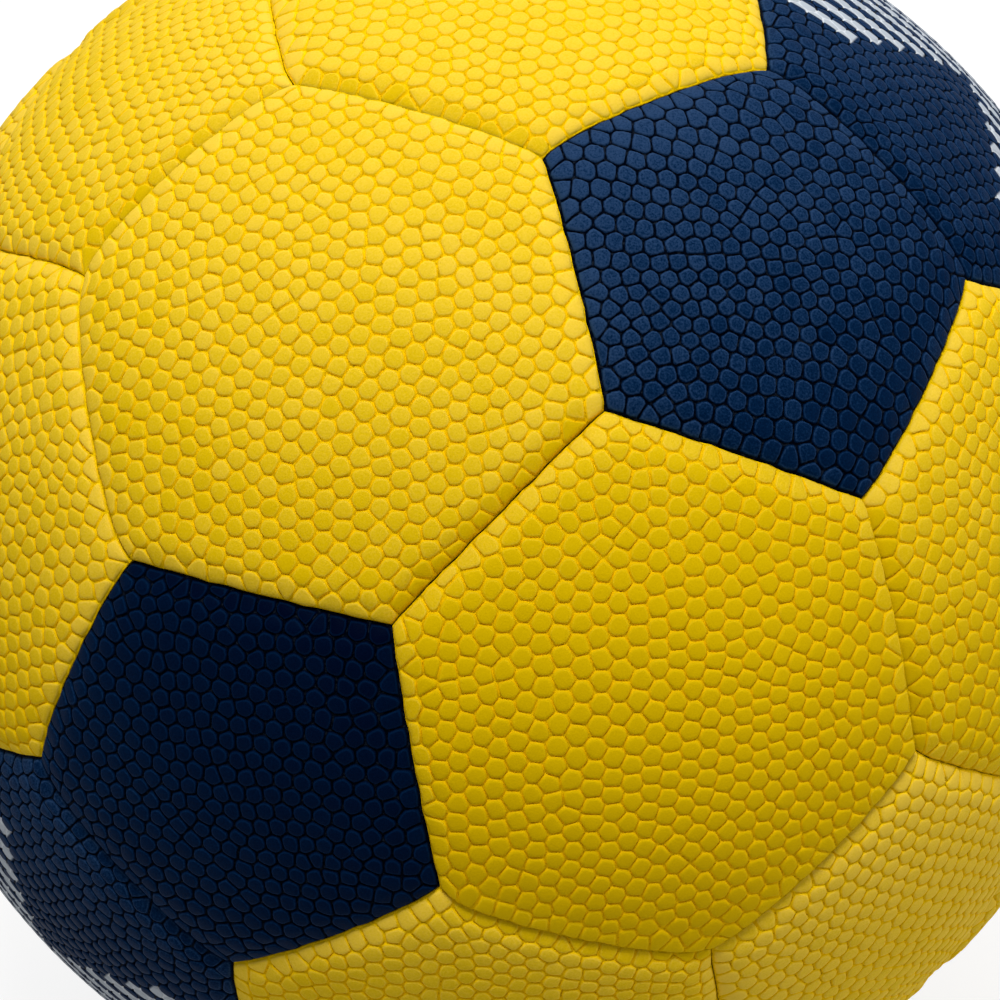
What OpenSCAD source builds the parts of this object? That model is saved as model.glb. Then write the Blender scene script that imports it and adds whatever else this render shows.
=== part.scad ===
// Hand-stitched handball of 32 panels: 12 pentagons and 20 hexagons of grained
// polyurethane leather, each backed with foam and cloth, sewn edge to edge with
// their edges turned in, over a latex bladder with a self-sealing valve.
// The origin is the middle of the ball, and +Z runs out through the valve.

/* [Ball] */
// Distance round the blown-up ball, over the crowns of the panels
ball_round = 590; // [580:1:600]

/* [Cover panels] */
// Thickness of the grained skin
skin_t = 1.2; // [1:0.1:1.4]
// Width of the gentle slope beside a seam, from the seam
pillow_w = 3.2; // [2.6:0.1:4]
// Width of the steep roll beside a seam, from the seam
roll_w = 1.1; // [0.8:0.1:1.5]
// Gap between the two turned-in edges of a seam
seam_gap = 0.1; // [0.06:0.02:0.2]

/* [Backing] */
// Thickness of the foam under the skin
foam_t = 1.4; // [1:0.1:1.8]
// Thickness of one cloth ply
ply_t = 0.3; // [0.2:0.05:0.4]
// Glue line between two layers
glue_t = 0.05; // [0.03:0.01:0.1]

/* [Seams] */
// Distance from one stitch to the next
stitch_pitch = 4.5; // [4:0.1:6]
// Thickness of the thread where it lies along a seam
thread_d = 0.7; // [0.5:0.05:0.7]
// Share of the thread's thickness left where the stitch hole squeezes it
thread_squeezed_share = 0.7; // [0.5:0.05:0.8]
// Distance along a seam from its corner to the first stitch, at least
corner_clear = 2.6; // [2.4:0.1:4]
// Leather left between the stitches and the cut edge
cut_edge = 1; // [0.8:0.1:2]

/* [Bladder] */
// Wall of the latex bladder
bladder_t = 1; // [0.6:0.1:1.6]
// Thickness of the patch round the valve
patch_t = 0.4; // [0.3:0.1:0.6]
// Diameter of the patch
patch_d = 38; // [30:1:44]

/* [Valve] */
// Diameter of the flange that holds the valve to the bladder
valve_flange_d = 24; // [20:1:28]
// Thickness of that flange
valve_flange_t = 1; // [0.8:0.1:1.2]
// Diameter of the boss that comes up through the panel
boss_d = 6.4; // [6:0.1:8]
// How far the boss lies below the crown of the panel
boss_drop = 0.4; // [0.2:0.1:1]
// Diameter of the tube inside the bladder
tube_d = 9; // [9:0.5:12]
// Length of the valve from its face to the end of its tube
valve_length = 18; // [16:1:24]
// Thickness of the tube's end wall
tube_end_t = 1.2; // [1:0.1:2]
// Diameter of the needle way, which takes a 2 mm needle
needle_way_d = 2.1; // [2:0.1:2.4]
// Diameter of the insert's neck
insert_neck_d = 4.2; // [4:0.1:4.6]
// Diameter of the insert's thicker foot
insert_foot_d = 6; // [5.4:0.1:6.4]
// Length of the insert's foot
insert_foot_length = 6; // [4:0.5:8]
// Diameter of the lead-in at the mouth of the needle way
mouth_d = 3; // [2.8:0.1:3.4]

/* [Hidden] */
// Cloth plies under each foam
ply_count = 3;
// Clearance between rubber pieces that sit in each other
fit_gap = 0.05;
// Clearance round the boss in the leather, foam and cloth
boss_clear = 0.15;
// Clearance round the tube in the bladder and the patch
tube_clear = 0.1;
// Clearance between the seam ridges and the bladder
ridge_clear = 0.1;
// Clearance between the lining and the thread below it
lining_clear = 0.2;
// Where the flat side of a thread run lies, from the thread's middle
thread_flat_share = 0.2;
// Fall of the gentle slope for each step towards the seam
pillow_share = 0.24;
// Fall of the steep roll for each step towards the seam
roll_share = 1.2;
// How much wider the slopes of each edge are than those of the edge before it
edge_step = 0.03;
// How far a cut runs past the face it starts from
overrun = 1;
// Facets round a turned form
$fn = 96;

leather_yellow = [0.93, 0.76, 0.08];
leather_navy = [0.03, 0.10, 0.22];
foam_white = [0.93, 0.93, 0.90];
cloth_grey = [0.78, 0.78, 0.74];
thread_black = [0.08, 0.08, 0.08];
latex_tan = [0.80, 0.62, 0.42];
rubber_black = [0.10, 0.10, 0.11];

golden = (1 + sqrt(5)) / 2;
ball_r = ball_round / (2 * PI);
lining_depth = skin_t + foam_t + ply_count * ply_t + (ply_count + 1) * glue_t;
thread_squeezed_d = thread_squeezed_share * thread_d;
thread_flat = thread_flat_share * thread_d;
stitch_depth = lining_depth + lining_clear + thread_d / 2;
turn_in = stitch_depth + thread_d / 2 + cut_edge;
stitch_r = ball_r - stitch_depth;
ridge_r = ball_r - turn_in;
bladder_r = ridge_r - ridge_clear;
patch_r = bladder_r + fit_gap;
valve_flange_r = patch_r + patch_t + fit_gap;
valve_face_z = ball_r - boss_drop;
valve_end_z = valve_face_z - valve_length;
insert_end_z = valve_end_z + tube_end_t + fit_gap;
boss_hole_d = boss_d + 2 * boss_clear;
tube_hole_d = tube_d + 2 * tube_clear;
reach = 1.5 * ball_r;

// Twelve pentagon centres: the corners of an icosahedron, in three golden rectangles
pent_axes = [
    for (s = [1, -1], t = [1, -1])
        each [[0, s, t * golden], [t * golden, 0, s], [s, t * golden, 0]]
];
pent_ids = [for (i = [0:len(pent_axes) - 1]) i];

function unit(v) = v / norm(v);
function next_to(i, j) = i != j && norm(pent_axes[i] - pent_axes[j]) < golden * golden;
function turns_left(a, b, c) = a * cross(b, c) > 0;

// Twenty hexagons: each lies between three pentagons that are next to each other
hex_triples = [
    for (i = pent_ids, j = pent_ids, k = pent_ids)
        if (i < j && i < k && j != k && next_to(i, j) && next_to(j, k) && next_to(i, k)
            && turns_left(pent_axes[i], pent_axes[j], pent_axes[k])) [i, j, k]
];
function triple_axis(h) = unit(pent_axes[h[0]] + pent_axes[h[1]] + pent_axes[h[2]]);

// The hand stitching pulls these corners off the regular layout. Each row names the pentagon
// that the corner belongs to, the pentagon it points to, and its shift in shares of the ball's
// radius along the first two axes of the layout.
corner_pull_shares = [
    [0, 1, 0, -0.010], [0, 2, 0.010, 0.005], [0, 4, 0, -0.010], [0, 6, -0.010, 0.015], [0, 8, -0.005, -0.005],
    [1, 0, -0.010, 0.005], [1, 6, 0.005, 0.005],
    [4, 0, 0, 0.010], [4, 6, -0.010, 0.005],
    [6, 0, 0.005, 0], [6, 1, -0.005, -0.010], [6, 4, 0.015, -0.010], [6, 5, 0.005, 0], [6, 11, 0, 0.005]
];

// Turns a direction of the layout so that the valve's hexagon faces +Z
valve_axis = unit([-1, 1, 1]);
side_axis = unit([1, 1, 0]);
turn_rows = [side_axis, cross(valve_axis, side_axis), valve_axis];
function turned(v) = [for (row = turn_rows) row * v];

function pulls(i, j) = [for (row = corner_pull_shares) if (row[0] == i && row[1] == j) [row[2], row[3], 0]];
function pull(i, j) = len(pulls(i, j)) > 0 ? pulls(i, j)[0] : [0, 0, 0];

// Corner of pentagon i that points to pentagon j, a third of the way between their centres
function corner(i, j) = turned(unit(unit(2 * pent_axes[i] + pent_axes[j]) + pull(i, j)));
function hex_corners(h) = [
    for (k = [0:2])
        each [corner(h[k], h[(k + 1) % 3]), corner(h[(k + 1) % 3], h[k])]
];

// Neighbours of pentagon i, one after the other to the left
function first_neighbour(i) = [for (j = pent_ids) if (next_to(i, j)) j][0];
function left_of(i, j) = [
    for (k = pent_ids)
        if (next_to(i, k) && next_to(j, k) && turns_left(pent_axes[i], pent_axes[j], pent_axes[k])) k
][0];
function ring_of(i, j, count) = count == 0 ? [] : concat([j], ring_of(i, left_of(i, j), count - 1));
function pent_corners(i) = [for (j = ring_of(i, first_neighbour(i), 5)) corner(i, j)];

// Hexagons from the valve down, and pentagons from the top down
function by_height(ids, heights) =
    len(ids) == 0 ? [] :
    let (pivot = heights[ids[0]], rest = [for (k = [1:1:len(ids) - 1]) ids[k]])
    concat(
        by_height([for (k = rest) if (heights[k] > pivot) k], heights),
        [ids[0]],
        by_height([for (k = rest) if (heights[k] <= pivot) k], heights)
    );
hex_heights = [for (h = hex_triples) triple_axis(h) * valve_axis];
hex_order = by_height([for (k = [0:len(hex_triples) - 1]) k], hex_heights);
pent_heights = [for (p = pent_axes) p * valve_axis];
pent_order = by_height(pent_ids, pent_heights);

// The navy panels are those whose middles lie on one great circle of the layout
function is_navy(axis) = abs(axis[0]) < 1 / golden / golden / golden;

function two_digits(k) = k < 10 ? str("0", k) : str(k);
hex_names = [for (k = [1:len(hex_order)]) str("hex_panel_", two_digits(k))];
pent_names = [for (k = [1:len(pent_order)]) str("pent_panel_", two_digits(k))];
hex_ply_names = [for (k = [1:ply_count]) str("hex_cloth_ply_", k)];
pent_ply_names = [for (k = [1:ply_count]) str("pent_cloth_ply_", k)];

// Places its children so that X points along x_axis and Z along z_axis
module aligned(x_axis, z_axis) {
    y_axis = cross(z_axis, x_axis);
    multmatrix([for (k = [0:2]) [x_axis[k], y_axis[k], z_axis[k], 0]])
        children();
}

// Places its children on the great circle through two corners: X to its middle, Z into the panel
module on_edge(a, b) {
    aligned(unit(a + b), unit(cross(a, b))) children();
}

// Room on the panel's side of one seam, the given inset away from the leather's seam face
module seam_side(a, b, inset) {
    on_edge(a, b)
        translate([-reach, -reach, seam_gap / 2 + inset])
            cube([2 * reach, 2 * reach, reach]);
}

// Room under one slope of a rolled edge, the given inset below the leather's face. It is a ball
// whose middle lies to the panel's side of the seam, so that it meets the dome in a circle.
module under_slope(a, b, inset, width, slope_share) {
    middle_z = slope_share * ball_r;
    slope_r = sqrt(pow(ball_r, 2) + pow(middle_z, 2) - 2 * width * middle_z);
    on_edge(a, b)
        translate([0, 0, middle_z])
            sphere(slope_r - inset);
}

// A panel's pyramid from the middle of the ball, ending in a domed face at the given depth
module pyramid(corners, inset, depth) {
    last = len(corners) - 1;
    intersection() {
        sphere(ball_r - depth);
        intersection_for (k = [0:last]) seam_side(corners[k], corners[(k + 1) % (last + 1)], inset);
    }
}

// The same with its edges rolled over into the seams, one edge after the other. No two edges that
// meet are rolled over quite alike, as hand work leaves them.
module rolled_pyramid(corners, inset, edge = 0) {
    if (edge == len(corners)) {
        pyramid(corners, inset, inset);
    } else {
        next = (edge + 1) % len(corners);
        intersection() {
            rolled_pyramid(corners, inset, edge + 1);
            under_slope(corners[edge], corners[next], inset, pillow_w + edge * edge_step, pillow_share);
            under_slope(corners[edge], corners[next], inset, roll_w + edge * edge_step, roll_share);
        }
    }
}

// Angles of a seam's stitches from its middle, as seen from the middle of the ball
function stitch_step() = stitch_pitch / stitch_r * 180 / PI;
function stitch_count(a, b) =
    1 + floor((acos(a * b) - 2 * corner_clear / stitch_r * 180 / PI) / stitch_step());
function stitch_angles(a, b) =
    let (n = stitch_count(a, b)) [for (k = [0:n - 1]) (k - (n - 1) / 2) * stitch_step()];

module stitch_holes(a, b) {
    on_edge(a, b)
        for (angle = stitch_angles(a, b))
            rotate([0, 0, angle])
                translate([stitch_r, 0, 0])
                    cylinder(d = thread_squeezed_d + 2 * fit_gap, h = seam_gap / 2 + skin_t + overrun);
}

// Skin of one panel: domed face, rolled edges, and the turned-in edges with their stitch holes
module skin(corners) {
    last = len(corners) - 1;
    difference() {
        rolled_pyramid(corners, 0);
        rolled_pyramid(corners, skin_t);
        sphere(ridge_r);
        for (k = [0:last]) stitch_holes(corners[k], corners[(k + 1) % (last + 1)]);
    }
}

// Way of the valve's boss through everything over the bladder
module boss_hole() {
    cylinder(d = boss_hole_d, h = reach);
}

module hex_skin(k) {
    h = hex_triples[hex_order[k]];
    color(is_navy(triple_axis(h)) ? leather_navy : leather_yellow)
        difference() {
            skin(hex_corners(h));
            if (k == 0) boss_hole();
        }
}

module pent_skin(k) {
    i = pent_order[k];
    color(is_navy(pent_axes[i]) ? leather_navy : leather_yellow) skin(pent_corners(i));
}

// Foam of one panel, cut to lie between the turned-in edges of the skin
module foam(corners) {
    color(foam_white)
        difference() {
            rolled_pyramid(corners, skin_t + glue_t);
            sphere(ball_r - skin_t - glue_t - foam_t);
        }
}

// Cloth ply of one panel, counted from the foam inwards
module ply(corners, number) {
    depth = skin_t + foam_t + 2 * glue_t + (number - 1) * (ply_t + glue_t);
    color(cloth_grey)
        difference() {
            pyramid(corners, skin_t + glue_t, depth);
            sphere(ball_r - depth - ply_t);
        }
}

module hex_foam_backing() {
    difference() {
        for (h = hex_triples) foam(hex_corners(h));
        boss_hole();
    }
}

module pent_foam_backing() {
    for (i = pent_ids) foam(pent_corners(i));
}

module hex_cloth_ply(number) {
    difference() {
        for (h = hex_triples) ply(hex_corners(h), number);
        boss_hole();
    }
}

module pent_cloth_ply(number) {
    for (i = pent_ids) ply(pent_corners(i), number);
}

// Section of a thread run: round, with a flat where it lies against the leather
module run_section() {
    intersection() {
        circle(d = thread_d);
        translate([-thread_d, -thread_flat]) square([2 * thread_d, thread_d]);
    }
}

// Saddle stitch of one seam: a run along each side of the ridge, pressed flat against the
// leather, and the thread drawn through every stitch hole from one run to the other
module seam_thread(a, b) {
    angles = stitch_angles(a, b);
    last_angle = angles[len(angles) - 1] + thread_d / 2 / stitch_r * 180 / PI;
    run_z = seam_gap / 2 + skin_t + fit_gap + thread_flat;
    color(thread_black)
        on_edge(a, b) {
            for (angle = angles)
                rotate([0, 0, angle])
                    translate([stitch_r, 0, 0])
                        cylinder(d = thread_squeezed_d, h = 2 * run_z, center = true);
            for (side = [0, 180])
                rotate([side, 0, 0])
                    rotate([0, 0, -last_angle])
                        rotate_extrude(angle = 2 * last_angle)
                            translate([stitch_r, run_z]) run_section();
        }
}

module pentagon_seam_thread() {
    for (i = pent_ids, j = pent_ids)
        if (next_to(i, j)) seam_thread(corner(i, j), corner(i, left_of(i, j)));
}

module hexagon_seam_thread() {
    for (i = pent_ids, j = pent_ids)
        if (i < j && next_to(i, j)) seam_thread(corner(i, j), corner(j, i));
}

// Bladder: a latex ball that bears on the seam ridges
module bladder() {
    color(latex_tan)
        difference() {
            sphere(bladder_r);
            sphere(bladder_r - bladder_t);
            cylinder(d = tube_hole_d, h = reach);
        }
}

// Disc that follows a ball of the given radius round the valve
module domed_disc(d, radius, thickness) {
    intersection() {
        difference() {
            sphere(radius + thickness);
            sphere(radius);
        }
        cylinder(d = d, h = reach);
    }
}

module valve_patch() {
    color(cloth_grey)
        difference() {
            domed_disc(patch_d, patch_r, patch_t);
            cylinder(d = tube_hole_d, h = reach);
        }
}

// Housing: the flange on the patch, the boss through the cover, and the tube in the bladder
module valve_housing() {
    color(rubber_black)
        difference() {
            union() {
                domed_disc(valve_flange_d, valve_flange_r, valve_flange_t);
                translate([0, 0, valve_flange_r]) cylinder(d = boss_d, h = valve_face_z - valve_flange_r);
                translate([0, 0, valve_end_z])
                    cylinder(d = tube_d, h = valve_flange_r + valve_flange_t / 2 - valve_end_z);
            }
            translate([0, 0, valve_end_z - overrun]) cylinder(d = mouth_d, h = valve_length);
            translate([0, 0, insert_end_z - fit_gap])
                cylinder(d = insert_foot_d + 2 * fit_gap, h = insert_foot_length + 2 * fit_gap);
            translate([0, 0, insert_end_z]) cylinder(d = insert_neck_d + 2 * fit_gap, h = reach);
        }
}

// Insert: a rubber plug whose foot locks it in the housing, with the needle way through it
module valve_insert() {
    mouth_depth = (mouth_d - needle_way_d) / 2;
    color(rubber_black)
        difference() {
            union() {
                translate([0, 0, insert_end_z]) cylinder(d = insert_foot_d, h = insert_foot_length);
                translate([0, 0, insert_end_z]) cylinder(d = insert_neck_d, h = valve_face_z - insert_end_z);
            }
            translate([0, 0, insert_end_z - overrun]) cylinder(d = needle_way_d, h = reach);
            translate([0, 0, valve_face_z - mouth_depth])
                cylinder(d1 = needle_way_d, d2 = mouth_d + mouth_depth * 2, h = mouth_depth * 2);
        }
}

for (k = [0:len(hex_names) - 1])
    hex_skin(k);
for (k = [0:len(pent_names) - 1])
    pent_skin(k);
hex_foam_backing();
pent_foam_backing();
for (k = [0:ply_count - 1])
    hex_cloth_ply(k + 1);
for (k = [0:ply_count - 1])
    pent_cloth_ply(k + 1);
pentagon_seam_thread();
hexagon_seam_thread();
bladder();
valve_patch();
valve_housing();
valve_insert();
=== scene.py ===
import math

import bpy
import numpy as np
from mathutils import Matrix, Vector
from mathutils.geometry import delaunay_2d_cdt


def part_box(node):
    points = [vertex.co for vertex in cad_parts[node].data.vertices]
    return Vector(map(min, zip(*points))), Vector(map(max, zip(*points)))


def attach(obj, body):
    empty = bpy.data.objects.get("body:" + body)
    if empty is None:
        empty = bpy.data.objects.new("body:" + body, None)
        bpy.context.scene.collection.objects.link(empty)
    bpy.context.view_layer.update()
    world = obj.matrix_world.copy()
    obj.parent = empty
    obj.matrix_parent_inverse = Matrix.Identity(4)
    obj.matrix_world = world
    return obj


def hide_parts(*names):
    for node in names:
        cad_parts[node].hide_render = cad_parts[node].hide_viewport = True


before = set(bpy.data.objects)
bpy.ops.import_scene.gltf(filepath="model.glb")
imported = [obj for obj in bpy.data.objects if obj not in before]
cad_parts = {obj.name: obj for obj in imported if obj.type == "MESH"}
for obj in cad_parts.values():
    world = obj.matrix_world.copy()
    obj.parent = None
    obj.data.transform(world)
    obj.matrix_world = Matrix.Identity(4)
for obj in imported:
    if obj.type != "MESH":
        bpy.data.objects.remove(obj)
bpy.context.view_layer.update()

# Sizes of the ball in millimetres, as in the part's source

ball_round = 590
ball_r = ball_round / (2 * math.pi)
skin_t = 1.2
seam_gap = 0.1
turn_in = 5.6
boss_hole_r = 3.35
golden = (1 + math.sqrt(5)) / 2

# Form of the leather beside its seams

# Width and steepness of the two slopes, a little narrower and steeper than in the part, and how
# far the one blends into the next
pillow_w, pillow_share = 3.1, 0.30
roll_w, roll_share = 0.9, 1.4
slope_blend = 0.16
# How far from a seam its bow moves the leather, and the depth down to which it does so in full
bow_reach = 15.0
full_bow_depth = 1.5
# Small waves along a seam, where one stitch pulls more than the next: their number and size
stitch_waves = ((5.3, 0.07), (8.7, 0.05))
stitch_wave_reach = 4
# How much paler the leather is beside a seam on the side that lies higher, as wear and painted light, and
# how much darker on the side that lies lower, as painted shade; and how far
wear_and_shade_size = 0.3
wear_and_shade_reach = 3.8

# Grain of the leather

# From pebble to pebble, depth of the grooves, distance of each ring of a pebble from its side, how
# square the rings' corners are, how far the grooves' ends are drawn back at an open seam, and by
# how much more or less, and how much of the wear and painted light and shade beside the seams shows
grains = {
    "yellow": dict(
        pitch=2.80, depth=0.40, insets=(0.03, 0.10, 0.23, 0.50), squareness=(12.0, 8.0, 5.5, 4.2),
        drawn_back=(0.10, 0.08), wear_and_shade=1.0),
    "navy": dict(
        pitch=2.70, depth=0.50, insets=(0.04, 0.10, 0.21, 0.50), squareness=(11.0, 7.5, 5.5, 4.4),
        drawn_back=(0.28, 0.20), wear_and_shade=0.3),
}
# Heights of the rings between the groove at -1 and the top at 0, and the most that each takes of
# the way from a side to the pebble's middle
ring_heights = (-0.86, -0.42, -0.14, 0.0)
ring_limits = (0.14, 0.27, 0.42, 0.7)

# The rows of pebbles: how far from the panel's middle they are laid out and kept, the waves that
# bend them, with their lengths and size, how much each pebble is jostled, and how near a seam its
# middle may be
rows_reach, kept_reach = 56, 48
row_waves = 5
row_wave_lengths = (14, 44)
row_wave_share = 0.016
any_phase = (0, 6.3)
jostle = 0.42
border_clear = 0.12
# Steps in which they even out, and the least area of one as a share of the pitch squared
eases = (1.0, 1.0, 0.8)
smallest_share = 0.36

# Sides of the pebbles: how much they bend, and at a seam how far in from it they may lie, how near
# they come to it, how much they bulge, and from how far in the grooves' ends are drawn back
side_bend = 0.045
seam_side_reach = 0.3
seam_side_clear = 0.02
seam_side_bulge = 0.15
drawn_back_reach = 1.2
# Least length of a side, and least distance from the middle; a side left out counts as far off
shortest_side = 0.02
far_off = 1e3
# How far the pebbles stay clear of the valve's hole
hole_clear = 0.7

# How pale some panels are, from 0 to 1, set panel by panel to how light and sheen fall on them: partly a
# panel's own tone, mostly painted light and shade
usual_shade = 0.5
painted_panel_shades = {
    (0,): 0.54, (6,): 0.20, (0, 2, 8): 0.44, (5, 6, 11): 0.34, (0, 4, 6): 0.58, (4,): 0.64,
    (0, 8, 4): 0.70, (0, 6, 1): 0.25, (1, 6, 5): 0.42, (1,): 0.72, (0, 1, 2): 0.40,
}

# Painted light and reflection: which way it gets paler across a panel, and by how much over the ball's
# radius; most panels are painted paler towards the top, where the lamps fall
painted_light_leans = {(0,): (-0.3, 0.0, 0.9), (6,): (-0.3, 0.0, -0.3)}
usual_painted_lean = (0.0, 0.0, 0.5)


# Layout of the panels

def unit(v):
    v = np.asarray(v, float)
    return v / np.linalg.norm(v)


pent_axes = [
    np.array(v, float)
    for s in (1, -1)
    for t in (1, -1)
    for v in ((0, s, t * golden), (t * golden, 0, s), (s, t * golden, 0))
]

# The hand stitching pulls these corners off the regular layout: the pentagon that the corner
# belongs to, the pentagon it points to, and its shift in shares of the ball's radius
corner_pulls = {
    (0, 1): (0, -0.010), (0, 2): (0.010, 0.005), (0, 4): (0, -0.010),
    (0, 6): (-0.010, 0.015), (0, 8): (-0.005, -0.005),
    (1, 0): (-0.010, 0.005), (1, 6): (0.005, 0.005),
    (4, 0): (0, 0.010), (4, 6): (-0.010, 0.005),
    (6, 0): (0.005, 0), (6, 1): (-0.005, -0.010), (6, 4): (0.015, -0.010),
    (6, 5): (0.005, 0), (6, 11): (0, 0.005),
}

# The seams also bow a little: by so many millimetres at the middle, to the left of the way from
# the first corner to the second
seam_bows = {
    ((0, 1), (0, 2)): -0.45, ((0, 1), (0, 6)): 0.15, ((0, 1), (1, 0)): -0.4,
    ((0, 2), (0, 8)): -1.5, ((0, 4), (0, 6)): 0.25, ((0, 4), (0, 8)): 1.1,
    ((0, 4), (4, 0)): 0, ((0, 6), (6, 0)): -0.35, ((0, 8), (8, 0)): -0.3,
    ((1, 0), (1, 2)): -0.8, ((1, 0), (1, 6)): 0.5, ((1, 2), (1, 7)): -0.25,
    ((1, 5), (1, 6)): 0.6, ((1, 6), (6, 1)): 1.5, ((4, 0), (4, 6)): -1.4,
    ((4, 0), (4, 8)): 1.1, ((4, 6), (4, 11)): -0.85, ((4, 6), (6, 4)): -1.35,
    ((6, 0), (6, 1)): 0, ((6, 0), (6, 4)): -0.15, ((6, 1), (6, 5)): 0.4,
    ((6, 4), (6, 11)): -0.65, ((6, 5), (6, 11)): 1.0, ((5, 6), (6, 5)): 0.4,
}

# How deep the edges are drawn in at some seams, next to the rest at 1. Where both ways round are
# given, the panel with its corners in that order lies higher or lower than its neighbour.
seam_depths = {
    ((0, 6), (6, 0)): 1.3, ((6, 0), (0, 6)): 1.6, ((4, 6), (6, 4)): 0.7,
    ((0, 4), (4, 0)): 0.25, ((4, 0), (0, 4)): 1.2,
    ((4, 0), (4, 6)): 0.3, ((4, 6), (4, 0)): 1.1,
    ((1, 0), (0, 1)): 0.2, ((0, 1), (1, 0)): 1.3,
    ((1, 6), (1, 0)): 0.15, ((1, 0), (1, 6)): 1.2,
    ((6, 1), (1, 6)): 0.15, ((1, 6), (6, 1)): 1.1,
    ((0, 2), (0, 8)): 0.8, ((0, 8), (0, 2)): 1.05,
    ((6, 11), (6, 5)): 0.7, ((6, 5), (6, 11)): 1.2,
    ((6, 0), (6, 4)): 1.5, ((6, 4), (6, 0)): 1.25,
}

# How far some seams gape; the rest are nearly closed
seam_gapes = {
    ((0, 6), (6, 0)): 1.0, ((0, 2), (0, 8)): 1.0, ((6, 5), (6, 11)): 0.9,
    ((0, 4), (4, 0)): 1.0, ((4, 0), (4, 6)): 0.9,
}
closed_gape = 0.5

valve_axis = unit((-1, 1, 1))
side_axis = unit((1, 1, 0))
turn_rows = np.array([side_axis, np.cross(valve_axis, side_axis), valve_axis])


def next_to(i, j):
    return i != j and np.linalg.norm(pent_axes[i] - pent_axes[j]) < golden ** 2


def turns_left(a, b, c):
    return np.dot(a, np.cross(b, c)) > 0


def corner(i, j):
    pull = np.array((*corner_pulls.get((i, j), (0, 0)), 0))
    return turn_rows @ unit(unit(2 * pent_axes[i] + pent_axes[j]) + pull)


def hexagons():
    return [
        (i, j, k)
        for i in range(12) for j in range(12) for k in range(12)
        if i < j and i < k and next_to(i, j) and next_to(j, k) and next_to(i, k)
        and turns_left(pent_axes[i], pent_axes[j], pent_axes[k])
    ]


def hexagon_corners(h):
    turns = [(h[k], h[(k + 1) % 3]) for k in range(3)]
    return [c for i, j in turns for c in ((i, j), (j, i))]


def pentagon_corners(i):
    around = [j for j in range(12) if next_to(i, j)]
    ring = [around[0]]
    while len(ring) < 5:
        ring.append(next(
            k for k in around
            if next_to(ring[-1], k) and turns_left(pent_axes[i], pent_axes[ring[-1]], pent_axes[k])
        ))
    return [(i, j) for j in ring]


def seam_bow(first, second):
    """How far a seam bows at its middle, to the left of the way from its first corner"""
    for pair, way in (((first, second), 1), ((second, first), -1)):
        if pair in seam_bows:
            return way * seam_bows[pair]
    low, high = sorted((first, second))
    way = 1 if (first, second) == (low, high) else -1
    rng = np.random.default_rng([*low, *high])
    if low[0] != high[0]:
        return way * rng.uniform(-0.5, 0.5)
    # The stuffed hexagons press into the pentagons
    inward = 1 if turns_left(corner(*first), corner(*second), turn_rows @ pent_axes[low[0]]) else -1
    return inward * rng.uniform(0.1, 0.6)


def seam_depth(first, second):
    """How deep a panel is drawn in at the seam from its first corner to its second"""
    return seam_depths.get((first, second), seam_depths.get((second, first), 1))


def is_navy(axis):
    return abs(axis[0]) < golden ** -3


# Print on the navy hexagons: white stripes that run beside the seam between two of them. The ones
# farther from it are left out in the middle, wider each time.

stripe_pitch = 4.6
ink_share = 0.5
full_stripes = 4.6
step_back = 2.7
last_stripe = 10
# How much of the grooves' depth the ink takes up, and how softly this begins at the stripes' ends
ink_fill = 0.65
ink_slope = 3


class Print:
    """Where the print lies on one navy hexagon"""

    def __init__(self, seam_start, seam_end):
        self.normal = unit(np.cross(seam_start, seam_end))
        self.way = unit(seam_end - seam_start)

    def measured(self, directions):
        """How far points are along the shared seam and from it"""
        across = np.abs(np.arcsin(directions @ self.normal)) * ball_r
        return np.arcsin(directions @ self.way) * ball_r, across

    def filled(self, directions):
        """1 where the thick ink has filled the grooves, 0 outside the print"""
        along, across = self.measured(directions)
        inner = (across / stripe_pitch - 0.5 - full_stripes) * step_back
        ends = np.clip((np.abs(along) - inner) / ink_slope + 0.5, 0, 1)
        return ends * np.clip((last_stripe + 1) * stripe_pitch - across, 0, 1)


# Form of one panel

# Rings of what is turned in: how far below the rim the edges meet, and the shares of the way out to
# the turned edge at which the inside has its rings
shoulder_drop = 0.25
inside_shares = (0.93, 0.8, 0.6, 0.4)
# Rings of the plain collar round the valve: share of the way out from the hole, and height
collar_rings = ((0.9, -0.10), (0.75, -0.02), (0.3, 0.0), (0.1, -0.05), (0.0, -0.22))
# Places on the texture sheet: the face's middle and half its width, and the height of the strip
face_place = (0.5, 0.57)
face_half = 0.42
strip_high = 0.13


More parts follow.
